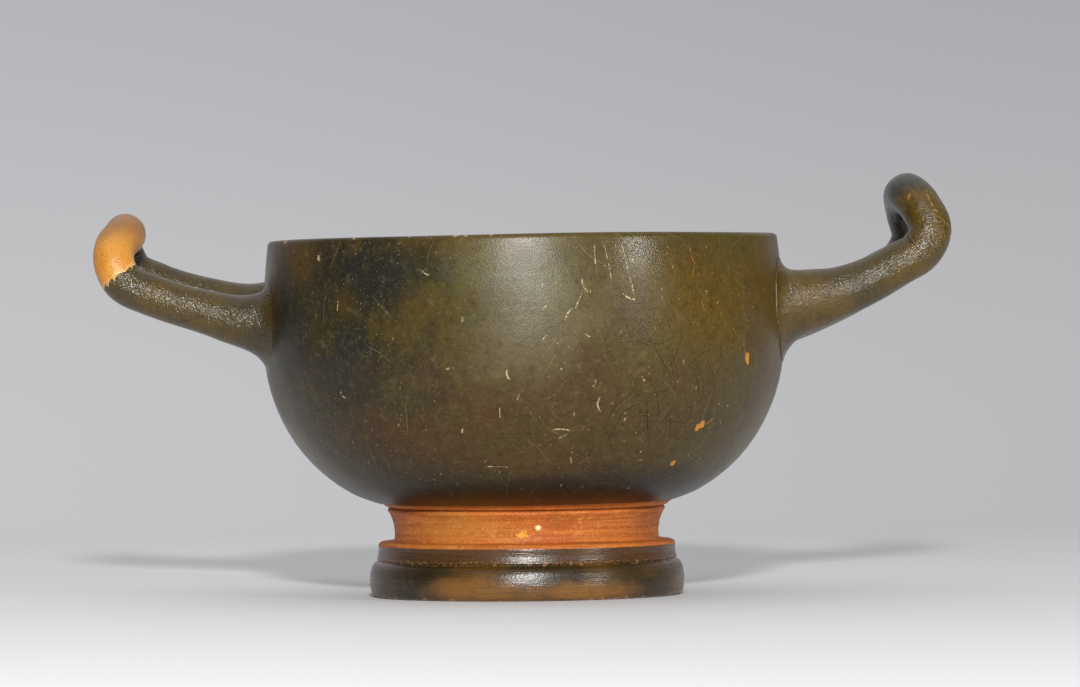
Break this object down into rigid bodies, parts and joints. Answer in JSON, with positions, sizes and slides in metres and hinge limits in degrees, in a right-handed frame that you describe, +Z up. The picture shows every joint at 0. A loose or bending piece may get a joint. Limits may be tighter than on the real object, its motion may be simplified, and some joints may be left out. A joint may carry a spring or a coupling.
{
  "type": "stemless kylix drinking cup",
  "caption": "Wheel-thrown black-glazed clay drinking cup: deep round bowl on a moulded ring foot, with two upturned loop handles.",
  "frame": {"origin": "centre of the foot's resting ring, on the table", "axes": "+Z up; the handles reach along +X and -X; the front of the cup faces -Y"},
  "size_m": [0.2054, 0.1252, 0.1002],
  "materials": {
    "glazed_clay": "thin olive-brown misfired black glaze with a satin sheen, worn and scratched; bare orange clay on the band above the foot and on the top of one handle"
  },
  "bodies": {
    "root": {"cup": "glazed_clay"}
  },
  "joints": []
}
